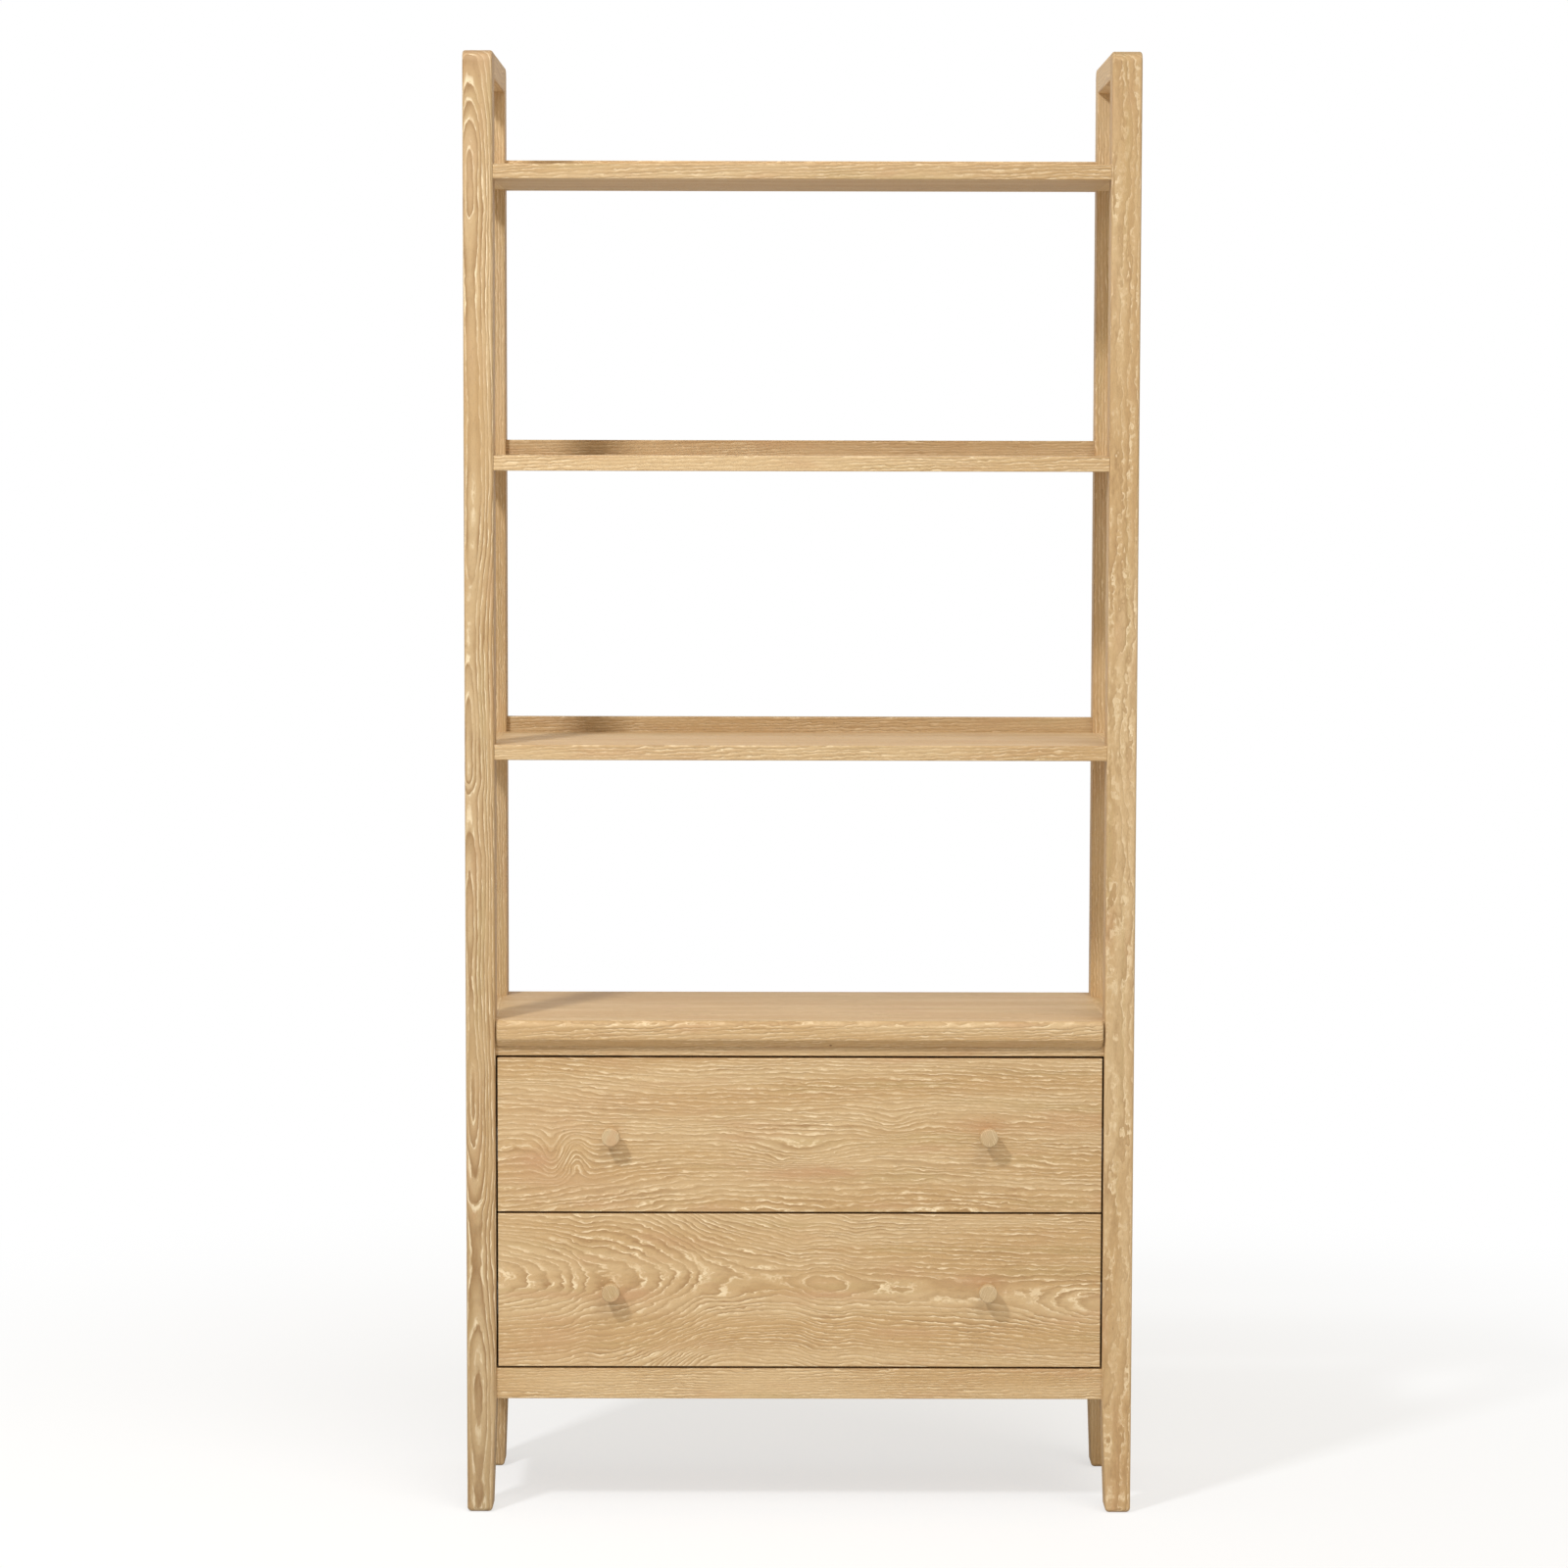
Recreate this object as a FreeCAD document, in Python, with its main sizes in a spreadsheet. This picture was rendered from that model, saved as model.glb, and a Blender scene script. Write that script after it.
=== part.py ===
import FreeCAD, Part
import os
import re
import Sketcher

# An open oak bookcase over a cabinet with two inset drawers. Millimetres, +Z up, front towards -Y.
# The origin is on the floor, in the middle of the width and of the whole depth, knobs included.

document = FreeCAD.newDocument("Bookcase")

# Driving dimensions: name, size and what it is.
sizes = [
    ("case_width", 914, "overall width over the side frames"),
    ("side_depth", 310, "depth of a side frame"),
    ("post_width", 40.5, "width of a post, seen from the front"),
    ("post_depth", 44, "depth of a post, seen from the side"),
    ("post_arris", 3.5, "rounding of the outer edges of the posts"),
    ("inner_arris", 1.5, "rounding of the post edges inside the side frame"),
    ("frame_corner", 15, "rounding of the top corners of a side frame"),
    ("foot_taper", 6, "how much a leg narrows on its inner side"),
    ("foot_round", 6.5, "rounding round the bottom of a foot"),
    ("top_rail_height", 36, "height of the top rail of a side frame"),
    ("frame_reach", 151.5, "side frames above the upper shelf's surface"),
    ("upper_spacing", 392, "middle to upper shelf, surface to surface"),
    ("middle_spacing", 392.5, "lower to middle shelf, surface to surface"),
    ("lower_spacing", 377, "cabinet top to lower shelf, surface to surface"),
    ("shelf_thickness", 20.5, "thickness of shelves and shelf rails"),
    ("shelf_setback", 2, "shelf front edge behind the post front"),
    ("shelf_arris", 1.5, "rounding of the shelf edges"),
    ("ledge_thickness", 18, "thickness of a ledge"),
    ("ledge_rise", 21, "height of a ledge above its shelf"),
    ("ledge_inset", 16, "back of a ledge in front of the post back"),
    ("cabinet_top_thickness", 36, "thickness of the cabinet top"),
    ("top_overhang", 5, "cabinet top in front of the posts"),
    ("top_round", 9, "rounding of the upper front edge of the cabinet top"),
    ("top_bevel", 10, "bevel along the lower front edge of the cabinet top"),
    ("top_bevel_round", 3, "rounding between that bevel and the front of the cabinet top"),
    ("top_end_gap", 1.5, "gap between a post and the front of the cabinet top"),
    ("top_end_round", 4, "rounding of the ends of the cabinet top beside that gap"),
    ("rail_thickness", 20, "thickness of the front and back rails"),
    ("rail_setback", 5, "rails and drawer fronts behind the post front"),
    ("rail_arris", 1, "rounding of rail and drawer front edges"),
    ("front_rail_height", 13.5, "height of the rail under the cabinet top"),
    ("front_rail_recess", 4, "rail under the cabinet top behind the drawer fronts"),
    ("bottom_rail_height", 42, "height of the bottom rails"),
    ("rail_clearance", 158, "floor to the underside of the bottom rails"),
    ("tenon_length", 18, "length of the rail tenons"),
    ("tenon_shoulder", 3, "rail left above and below a tenon"),
    ("tenon_thickness", 12, "thickness of the rail tenons"),
    ("tongue_length", 8, "tongues and panel edges in their grooves"),
    ("tongue_thickness", 8, "thickness of the shelf tongues"),
    ("side_panel_thickness", 18, "thickness of a side panel"),
    ("side_panel_recess", 12, "side panel behind the outer face of the posts"),
    ("thin_panel", 6, "thickness of back, bottom and drawer bottom panels"),
    ("back_panel_inset", 12, "back panel in front of the post back"),
    ("bottom_panel_drop", 16, "bottom panel below the top of its rails"),
    ("strip_height", 60, "height of a runner strip"),
    ("drawer_gap", 3, "gap above, below and between drawer fronts"),
    ("drawer_end_gap", 2.5, "gap between a drawer front and a post"),
    ("drawer_front_height", 212.25, "height of a drawer front"),
    ("drawer_front_thickness", 20, "thickness of a drawer front"),
    ("drawer_side_thickness", 12, "thickness of drawer sides and backs"),
    ("drawer_side_height", 150, "height of a drawer side"),
    ("drawer_side_lift", 16, "drawer side above the bottom of its front"),
    ("drawer_back_gap", 11, "drawer sides to the back panel"),
    ("drawer_joint_depth", 10, "how far a drawer side goes into its front"),
    ("drawer_bottom_lift", 10, "drawer bottom above the bottom of the sides"),
    ("drawer_bottom_groove", 6, "depth of the grooves for a drawer bottom"),
    ("slide_thickness", 12.7, "room that a drawer slide takes at each side"),
    ("slide_height", 45, "height of a cabinet slide member"),
    ("slide_setback", 2, "slides behind the back of the drawer fronts"),
    ("slide_end_gap", 4, "slides in front of the back end of the drawer sides"),
    ("slide_sheet", 1.2, "sheet thickness of the slides"),
    ("slide_play", 0.6, "gap between two members, above and below"),
    ("slide_web_gap", 0.8, "gap between two members, side to side"),
    ("slide_flange", 9, "width of the slide flanges"),
    ("knob_spacing", 517, "distance between the two knobs of a drawer"),
    ("knob_diameter", 25, "diameter of a knob's head"),
    ("knob_base_diameter", 15, "diameter of a knob where it meets the drawer"),
    ("knob_length", 25, "length of a knob"),
    ("knob_head_length", 11, "length of a knob's cylindrical head"),
    ("knob_round", 2, "rounding of a knob's rim"),
    ("screw_diameter", 4, "diameter of a knob screw"),
    ("screw_bite", 14, "how far a knob screw goes into its knob"),
    ("screw_play", 0.2, "gap round a knob screw"),
    ("screw_head_diameter", 8, "diameter of a knob screw's head"),
    ("screw_head_height", 2.5, "height of a knob screw's head"),
]

# Sizes and places that follow from the driving dimensions.
formulas = {
    "half_width": "case_width / 2",
    "inner_half": "half_width - post_width",
    "inner_width": "2 * inner_half",
    "front": "(knob_length - rail_setback - side_depth) / 2",
    "back": "front + side_depth",
    "rail_front": "front + rail_setback",
    "post_back": "front + post_depth",
    "post_front": "back - post_depth",
    "frame_gap": "side_depth - 2 * post_depth",
    "ledge_back": "back - ledge_inset",
    "ledge_front": "ledge_back - ledge_thickness",
    "panel_back": "back - back_panel_inset",
    "bottom_rail_top": "rail_clearance + bottom_rail_height",
    "lower_drawer_base": "bottom_rail_top + drawer_gap",
    "upper_drawer_base": "lower_drawer_base + drawer_front_height + drawer_gap",
    "opening_top": "upper_drawer_base + drawer_front_height + drawer_gap",
    "top_under": "opening_top + front_rail_height",
    "cabinet_level": "top_under + cabinet_top_thickness",
    "lower_level": "cabinet_level + lower_spacing",
    "middle_level": "lower_level + middle_spacing",
    "upper_level": "middle_level + upper_spacing",
    "case_height": "upper_level + frame_reach",
    "drawer_front_half": "inner_half - drawer_end_gap",
    "drawer_front_back": "rail_front + drawer_front_thickness",
    "drawer_half": "inner_half - slide_thickness",
    "strip_thickness": "post_width - side_panel_recess - side_panel_thickness",
    "drawer_depth": "panel_back - thin_panel - drawer_back_gap - drawer_front_back",
    "slide_front": "drawer_front_back + slide_setback",
    "slide_length": "drawer_depth - slide_setback - slide_end_gap",
    "screw_hole": "screw_diameter + 2 * screw_play",
}

sheet = document.addObject("Spreadsheet::Sheet", "Sizes")
for row, (alias, value, meaning) in enumerate(sizes, start=1):
    sheet.set(f"A{row}", alias)
    sheet.set(f"B{row}", str(value))
    sheet.set(f"C{row}", meaning)
    sheet.setAlias(f"B{row}", alias)
document.recompute()
aliases = {alias for alias, value, meaning in sizes}


def expression(text):
    """Turns a formula in plain size names into an expression on the cells of the sheet."""

    def replaced(match):
        word = match.group(0)
        if word in formulas:
            return "(" + expression(formulas[word]) + ")"
        return "Sizes." + word if word in aliases else word

    return re.sub(r"[a-z_]+", replaced, str(text))


def number(text):
    """The value of a formula, in millimetres."""
    return float(sheet.evalExpression(expression(text)))


def bind(thing, formula_by_property):
    for name, formula in formula_by_property.items():
        thing.setExpression(name, expression(formula))


class Piece:
    """One sub-part: a body at a corner of its own. Places are given in the frame of the bookcase."""

    def __init__(self, label, corner):
        self.corner = corner
        self.body = document.addObject("PartDesign::Body", label)
        self.body.Label = label
        self.place(self.body, corner)
        self.count = 0

    def place(self, thing, corner):
        bind(thing, {f".Placement.Base.{axis}": place for axis, place in zip("xyz", corner)})

    def name(self, kind):
        self.count += 1
        return f"{self.body.Name}_{kind}_{self.count}"

    def box(self, kind, corner, size):
        feature = self.body.newObject(f"PartDesign::{kind}Box", self.name(kind.lower()))
        bind(feature, dict(zip(("Length", "Width", "Height"), size)))
        local = [f"({place}) - ({own})" for place, own in zip(corner, self.corner)]
        self.place(feature, local)
        return feature

    def add(self, corner, size):
        return self.box("Additive", corner, size)

    def cut(self, corner, size):
        return self.box("Subtractive", corner, size)

    def sketch(self, plane, points):
        """A closed outline of straight lines on an origin plane, each corner held by two sizes."""
        sketch = self.body.newObject("Sketcher::SketchObject", self.name("outline"))
        origin = [item for item in self.body.Origin.OriginFeatures if item.Role == plane][0]
        sketch.AttachmentSupport = [(origin, "")]
        sketch.MapMode = "FlatFace"
        places = [FreeCAD.Vector(number(across), number(up), 0) for across, up in points]
        for index, start in enumerate(places):
            sketch.addGeometry(Part.LineSegment(start, places[(index + 1) % len(places)]), False)
        for index in range(len(points)):
            following = (index + 1) % len(points)
            sketch.addConstraint(Sketcher.Constraint("Coincident", index, 2, following, 1))
        for index, point in enumerate(points):
            for direction, formula in zip(("DistanceX", "DistanceY"), point):
                value = number(formula)
                held = sketch.addConstraint(Sketcher.Constraint(direction, -1, 1, index, 1, value))
                sketch.setExpression(f"Constraints[{held}]", expression(formula))
        return sketch

    def pad(self, sketch, length, reverse=False):
        feature = self.body.newObject("PartDesign::Pad", self.name("pad"))
        feature.Profile = sketch
        feature.Reversed = reverse
        bind(feature, {"Length": length})
        return feature

    def turn(self, sketch, axis):
        feature = self.body.newObject("PartDesign::Revolution", self.name("turning"))
        feature.Profile = sketch
        feature.ReferenceAxis = (sketch, [axis])
        feature.Angle = 360
        return feature

    def soften(self, radius, wanted):
        return self.easeEdges("Fillet", {"Radius": radius}, wanted)

    def bevel(self, size, wanted):
        return self.easeEdges("Chamfer", {"Size": size}, wanted)

    def easeEdges(self, kind, measures, wanted):
        """Eases the edges that the test picks by their middle and direction, in global coordinates."""
        document.recompute()
        base = self.body.Tip
        picked = []
        for index, edge in enumerate(base.Shape.Edges, start=1):
            ends = [vertex.Point for vertex in edge.Vertexes]
            span = ends[-1] - ends[0]
            if wanted(edge.CenterOfMass + self.body.Placement.Base, span, edge):
                picked.append(f"Edge{index}")
        feature = self.body.newObject(f"PartDesign::{kind}", self.name(kind.lower()))
        feature.Base = (base, picked)
        bind(feature, measures)
        return feature


# How close an edge's middle lies to a face that it belongs to, and how straight it runs along an axis.
on_face = 0.01
straight_share = 0.9


def near(place, face):
    return abs(place - face) < on_face


def runs(span, axis):
    """True for an edge that runs mostly along one axis."""
    return abs(getattr(span, axis)) > straight_share * span.Length > 0


def board(label, corner, size):
    piece = Piece(label, corner)
    piece.add(corner, size)
    return piece


def sideCorner(side, outer, width):
    """The low X corner of something that is set in from the outer face of a side frame."""
    if side < 0:
        return f"-half_width + ({outer})"
    return f"half_width - ({outer}) - ({width})"


def sideLabel(side):
    return "left" if side < 0 else "right"


# The rails between the posts of a side frame: name, underside and height.
side_rails = [
    ("top_rail", "case_height - top_rail_height", "top_rail_height"),
    ("upper_shelf_rail", "upper_level - shelf_thickness", "shelf_thickness"),
    ("middle_shelf_rail", "middle_level - shelf_thickness", "shelf_thickness"),
    ("lower_shelf_rail", "lower_level - shelf_thickness", "shelf_thickness"),
    ("cabinet_rail", "top_under", "cabinet_top_thickness"),
    ("bottom_rail", "rail_clearance", "bottom_rail_height"),
]


def tenonBox(side, start, under, height):
    """Corner and size of a tenon that runs back from a given place between the posts."""
    across = sideCorner(side, "(post_width - tenon_thickness) / 2", "tenon_thickness")
    corner = (across, start, f"{under} + tenon_shoulder")
    return corner, ("tenon_thickness", "tenon_length", f"({height}) - 2 * tenon_shoulder")


def frontTenonBox(side, rail_face, under, height):
    """Corner and size of a tenon that runs sideways from a cabinet rail into a post."""
    across = "-inner_half - tenon_length" if side < 0 else "inner_half"
    inset = "(rail_thickness - tenon_thickness) / 2"
    corner = (across, f"{rail_face} + {inset}", f"{under} + tenon_shoulder")
    return corner, ("tenon_length", "tenon_thickness", f"({height}) - 2 * tenon_shoulder")


# The rails across the cabinet: name, front face, underside and height.
cross_rails = {
    "front_top_rail": ("rail_front + front_rail_recess", "opening_top", "front_rail_height"),
    "front_bottom_rail": ("rail_front", "rail_clearance", "bottom_rail_height"),
    "back_bottom_rail": ("back - rail_setback - rail_thickness", "rail_clearance", "bottom_rail_height"),
}

panel_groove_height = "top_under + tongue_length - bottom_rail_top + tongue_length"
panel_groove_base = "bottom_rail_top - tongue_length"


def sidePanelBox(side):
    across = sideCorner(side, "side_panel_recess", "side_panel_thickness")
    corner = (across, "post_back - tongue_length", panel_groove_base)
    return corner, ("side_panel_thickness", "frame_gap + 2 * tongue_length", panel_groove_height)


def backPanelBox():
    corner = ("-inner_half - tongue_length", "panel_back - thin_panel", panel_groove_base)
    return corner, ("inner_width + 2 * tongue_length", "thin_panel", panel_groove_height)


def bottomPanelBox():
    """The bottom panel, from the groove in the front rail to the groove in the back rail."""
    start = "rail_front + rail_thickness - tongue_length"
    depth = "side_depth - 2 * rail_setback - 2 * rail_thickness + 2 * tongue_length"
    corner = ("-inner_half", start, "bottom_rail_top - bottom_panel_drop - thin_panel")
    return corner, ("inner_width", depth, "thin_panel")


def makePost(side, place):
    front_post = place == "front"
    start = "front" if front_post else "post_front"
    corner = (sideCorner(side, "0", "post_width"), start, "0")
    post = Piece(f"{sideLabel(side)}_{place}_post", corner)
    if side < 0:
        outline = [
            ("0", "0"),
            ("0", "case_height"),
            ("post_width", "case_height"),
            ("post_width", "rail_clearance"),
            ("post_width - foot_taper", "0"),
        ]
    else:
        outline = [
            ("foot_taper", "0"),
            ("0", "rail_clearance"),
            ("0", "case_height"),
            ("post_width", "case_height"),
            ("post_width", "0"),
        ]
    # The XZ plane faces -Y, so the pad is turned round to run back from the post's front face.
    post.pad(post.sketch("XZ_Plane", outline), "post_depth", reverse=True)
    outer_y = number("front") if front_post else number("back")
    inner_y = number("post_back") if front_post else number("post_front")
    top = number("case_height")

    def topCorner(middle, span, edge):
        return runs(span, "x") and near(middle.z, top) and near(middle.y, outer_y)

    def outerEdges(middle, span, edge):
        return runs(span, "z") and near(middle.y, outer_y)

    def innerEdges(middle, span, edge):
        return runs(span, "z") and near(middle.y, inner_y)

    def footEdges(middle, span, edge):
        return near(middle.z, 0)

    post.soften("frame_corner", topCorner)
    post.soften("post_arris", outerEdges)
    post.soften("inner_arris", innerEdges)
    post.soften("foot_round", footEdges)
    for name, under, height in side_rails:
        tenon_start = "post_back - tenon_length" if front_post else "post_front"
        post.cut(*tenonBox(side, tenon_start, under, height))
    for name, (face, under, height) in cross_rails.items():
        if name.startswith(place):
            post.cut(*frontTenonBox(side, face, under, height))
    post.cut(*sidePanelBox(side))
    if not front_post:
        post.cut(*backPanelBox())
    return post


def makeSideRail(side, name, under, height):
    corner = (sideCorner(side, "0", "post_width"), "post_back", under)
    rail = board(f"{sideLabel(side)}_{name}", corner, ("post_width", "frame_gap", height))
    bottom = number(under)
    top = number(f"{under} + {height}")
    outer_x = side * number("half_width")

    def topEdges(middle, span, edge):
        return runs(span, "y") and near(middle.z, top)

    def lowerEdges(middle, span, edge):
        return runs(span, "y") and near(middle.z, bottom)

    def outerEdges(middle, span, edge):
        return runs(span, "y") and near(middle.x, outer_x)

    if name == "top_rail":
        rail.soften("post_arris", topEdges)
        rail.soften("inner_arris", lowerEdges)
    else:
        rail.soften("inner_arris", outerEdges)
    for start in ("post_back - tenon_length", "post_front"):
        rail.add(*tenonBox(side, start, under, height))
    if name.endswith("shelf_rail") or name == "cabinet_rail":
        rail.cut(*tongueBox(side, under, height))
    if name in ("cabinet_rail", "bottom_rail"):
        rail.cut(*sidePanelBox(side))
    return rail


def tongueBox(side, under, height):
    """Corner and size of the tongue at one end of a shelf or of the cabinet top."""
    across = "-inner_half - tongue_length" if side < 0 else "inner_half"
    corner = (across, "post_back", f"{under} + (({height}) - tongue_thickness) / 2")
    return corner, ("tongue_length", "frame_gap", "tongue_thickness")


def makeShelf(name, level):
    corner = ("-inner_half", "front + shelf_setback", f"{level} - shelf_thickness")
    depth = "ledge_front - front - shelf_setback"
    shelf = board(f"{name}_shelf", corner, ("inner_width", depth, "shelf_thickness"))
    front_y = number("front + shelf_setback")

    def frontEdges(middle, span, edge):
        return runs(span, "x") and near(middle.y, front_y)

    shelf.soften("shelf_arris", frontEdges)
    for side in (-1, 1):
        shelf.add(*tongueBox(side, f"{level} - shelf_thickness", "shelf_thickness"))
    ledge_corner = ("-inner_half", "ledge_front", f"{level} - shelf_thickness")
    ledge_size = ("inner_width", "ledge_thickness", "shelf_thickness + ledge_rise")
    ledge = board(f"{name}_ledge", ledge_corner, ledge_size)
    ledge_top = number(f"{level} + ledge_rise")
    ledge_back = number("ledge_back")

    def ledgeEdges(middle, span, edge):
        return runs(span, "x") and (near(middle.z, ledge_top) or near(middle.y, ledge_back))

    ledge.soften("shelf_arris", ledgeEdges)


def makeCabinetTop():
    corner = ("-inner_half + top_end_gap", "front - top_overhang", "top_under")
    size = ("inner_width - 2 * top_end_gap", "side_depth + top_overhang", "cabinet_top_thickness")
    top = board("cabinet_top", corner, size)
    front_y = number("front - top_overhang")
    under = number("top_under")
    bevel_top = number("top_under + top_bevel")

    def frontEdge(height):
        def wanted(middle, span, edge):
            return runs(span, "x") and near(middle.y, front_y) and near(middle.z, height)
        return wanted

    def endEdges(middle, span, edge):
        return runs(span, "z") and near(middle.y, front_y)

    top.bevel("top_bevel", frontEdge(under))
    top.soften("top_bevel_round", frontEdge(bevel_top))
    top.soften("top_round", frontEdge(number("cabinet_level")))
    top.soften("top_end_round", endEdges)
    # Behind the eased front, the ends are square and meet the posts and the side rails.
    behind = "front - top_overhang + top_bevel + top_bevel_round"
    square_size = ("top_end_gap + top_end_round", f"back - ({behind})", "cabinet_top_thickness")
    for side in (-1, 1):
        across = sideCorner(side, "post_width", "top_end_gap + top_end_round")
        top.add((across, behind, "top_under"), square_size)
        top.add(*tongueBox(side, "top_under", "cabinet_top_thickness"))
    top.cut(*backPanelBox())


def makeCrossRail(name, face, under, height):
    rail = board(name, ("-inner_half", face, under), ("inner_width", "rail_thickness", height))

    def longEdges(middle, span, edge):
        return runs(span, "x")

    rail.soften("rail_arris", longEdges)
    for side in (-1, 1):
        rail.add(*frontTenonBox(side, face, under, height))
    if name != "front_top_rail":
        rail.cut(*bottomPanelBox())
    if name == "back_bottom_rail":
        rail.cut(*backPanelBox())


def makeStrips(side):
    """Two runner strips in one node, one solid for each drawer."""
    strips = []
    for level in ("lower", "upper"):
        middle = f"{level}_drawer_base + drawer_side_lift + drawer_side_height / 2"
        strip = document.addObject("Part::Box", f"{sideLabel(side)}_{level}_strip")
        across = sideCorner(side, "side_panel_recess + side_panel_thickness", "strip_thickness")
        bind(strip, {"Length": "strip_thickness", "Width": "frame_gap", "Height": "strip_height"})
        corner = (across, "post_back", f"{middle} - strip_height / 2")
        bind(strip, {f".Placement.Base.{axis}": place for axis, place in zip("xyz", corner)})
        strips.append(strip)
    return group(f"{sideLabel(side)}_runner_strips", strips)


def group(label, members):
    """Several separate solids of one kind, kept as one sub-part."""
    compound = document.addObject("Part::Compound", label)
    compound.Label = label
    compound.Links = members
    return compound


def slideOutline(member):
    """The section of a slide member, from the cabinet side: across from the post, up from the middle."""
    # Each member lies inside the one before it, so its half height shrinks by a sheet and the play.
    steps = {"cabinet": 0, "middle": 1, "drawer": 2}[member]
    outer = f"slide_height / 2 - {steps} * (slide_sheet + slide_play)"
    inner = f"{outer} - slide_sheet"
    if member == "drawer":
        web, lip = "slide_thickness", "2 * (slide_sheet + slide_web_gap)"
        web_inner = "slide_thickness - slide_sheet"
    else:
        web = f"{steps} * (slide_sheet + slide_web_gap)"
        web_inner = f"{web} + slide_sheet"
        lip = f"{web} + slide_flange"
    return [
        (web, f"-({outer})"),
        (web, outer),
        (lip, outer),
        (lip, inner),
        (web_inner, inner),
        (web_inner, f"-({inner})"),
        (lip, f"-({inner})"),
        (lip, f"-({outer})"),
    ]


def makeSlideMember(side, level, member):
    middle = f"{level}_drawer_base + drawer_side_lift + drawer_side_height / 2"
    across = "-inner_half" if side < 0 else "inner_half"
    label = f"{level}_{sideLabel(side)}_slide_{member}_member"
    piece = Piece(label, (across, "slide_front", middle))
    outline = slideOutline(member)
    if side > 0:
        outline = [(f"-({along})", up) for along, up in outline]
    piece.pad(piece.sketch("XZ_Plane", outline), "slide_length", reverse=True)
    return piece.body


def makeKnob(side, level):
    middle = f"{level}_drawer_base + drawer_front_height / 2"
    across = f"{side} * knob_spacing / 2"
    name = f"{level}_drawer_{sideLabel(side)}_knob"
    knob = Piece(name, (across, "rail_front", middle))
    # The outline lies on the XY plane: X is the radius and -Y runs out from the drawer front.
    outline = [
        ("screw_hole / 2", "0"),
        ("knob_base_diameter / 2", "0"),
        ("knob_diameter / 2", "-(knob_length - knob_head_length)"),
        ("knob_diameter / 2", "-knob_length"),
        ("0", "-knob_length"),
        ("0", "-screw_bite"),
        ("screw_hole / 2", "-screw_bite"),
    ]
    knob.turn(knob.sketch("XY_Plane", outline), "V_Axis")
    head_radius = number("knob_diameter / 2")

    def rims(centre, span, edge):
        return edge.Closed and near(edge.Curve.Radius, head_radius)

    knob.soften("knob_round", rims)


def makeKnobScrews(level):
    """Two machine screws in one node, each with its head on the back of the drawer front."""
    screws = []
    for side in (-1, 1):
        middle = f"{level}_drawer_base + drawer_front_height / 2"
        across = f"{side} * knob_spacing / 2"
        screw = Piece(f"{level}_{sideLabel(side)}_knob_screw", (across, "drawer_front_back", middle))
        outline = [
            ("0", "screw_head_height"),
            ("screw_head_diameter / 2", "screw_head_height"),
            ("screw_head_diameter / 2", "0"),
            ("screw_diameter / 2", "0"),
            ("screw_diameter / 2", "-(drawer_front_thickness + screw_bite - screw_play)"),
            ("0", "-(drawer_front_thickness + screw_bite - screw_play)"),
        ]
        screw.turn(screw.sketch("XY_Plane", outline), "V_Axis")
        screws.append(screw.body)
    return group(f"{level}_drawer_knob_screws", screws)


def drawerSideBox(side, level):
    across = "-drawer_half" if side < 0 else "drawer_half - drawer_side_thickness"
    corner = (across, "drawer_front_back - drawer_joint_depth", f"{level}_drawer_base + drawer_side_lift")
    size = ("drawer_side_thickness", "drawer_depth + drawer_joint_depth", "drawer_side_height")
    return corner, size


def drawerBottomBox(level):
    across = "drawer_half - drawer_side_thickness + drawer_bottom_groove"
    under = f"{level}_drawer_base + drawer_side_lift + drawer_bottom_lift"
    corner = (f"-({across})", "drawer_front_back - drawer_bottom_groove", under)
    return corner, (f"2 * ({across})", "drawer_depth + drawer_bottom_groove", "thin_panel")


def makeDrawer(level):
    base = f"{level}_drawer_base"
    corner = ("-drawer_front_half", "rail_front", base)
    size = ("2 * drawer_front_half", "drawer_front_thickness", "drawer_front_height")
    front = board(f"{level}_drawer_front", corner, size)
    front_y = number("rail_front")

    def faceEdges(middle, span, edge):
        return near(middle.y, front_y)

    front.soften("rail_arris", faceEdges)
    for side in (-1, 1):
        front.cut(*drawerSideBox(side, level))
    front.cut(*drawerBottomBox(level))
    for side in (-1, 1):
        hole = front.body.newObject("PartDesign::SubtractiveCylinder", front.name("hole"))
        bind(hole, {"Radius": "screw_hole / 2", "Height": "drawer_front_thickness"})
        # The hole runs back from the front face, so the cylinder is laid over along +Y.
        hole.Placement.Rotation = FreeCAD.Rotation(FreeCAD.Vector(1, 0, 0), -90)
        across = f"{side} * knob_spacing / 2 + drawer_front_half"
        front.place(hole, (across, "0", "drawer_front_height / 2"))
    for side in (-1, 1):
        panel = board(f"{level}_drawer_{sideLabel(side)}_side", *drawerSideBox(side, level))
        panel.cut(*drawerBottomBox(level))
        makeKnob(side, level)
        makeSlideMember(side, level, "middle")
        makeSlideMember(side, level, "drawer")
    board(f"{level}_drawer_bottom", *drawerBottomBox(level))
    # The back stands on the drawer bottom, between the sides.
    inside = "drawer_half - drawer_side_thickness"
    under = f"{base} + drawer_side_lift + drawer_bottom_lift + thin_panel"
    back_corner = (f"-({inside})", "drawer_front_back + drawer_depth - drawer_side_thickness", under)
    back_height = "drawer_side_height - drawer_bottom_lift - thin_panel"
    board(f"{level}_drawer_back", back_corner, (f"2 * ({inside})", "drawer_side_thickness", back_height))
    makeKnobScrews(level)


for side in (-1, 1):
    for place in ("front", "back"):
        makePost(side, place)
    for name, under, height in side_rails:
        makeSideRail(side, name, under, height)
    panel_corner, panel_size = sidePanelBox(side)
    board(f"{sideLabel(side)}_side_panel", panel_corner, panel_size)
    makeStrips(side)
    channels = [makeSlideMember(side, level, "cabinet") for level in ("lower", "upper")]
    group(f"{sideLabel(side)}_slide_channels", channels)

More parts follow.
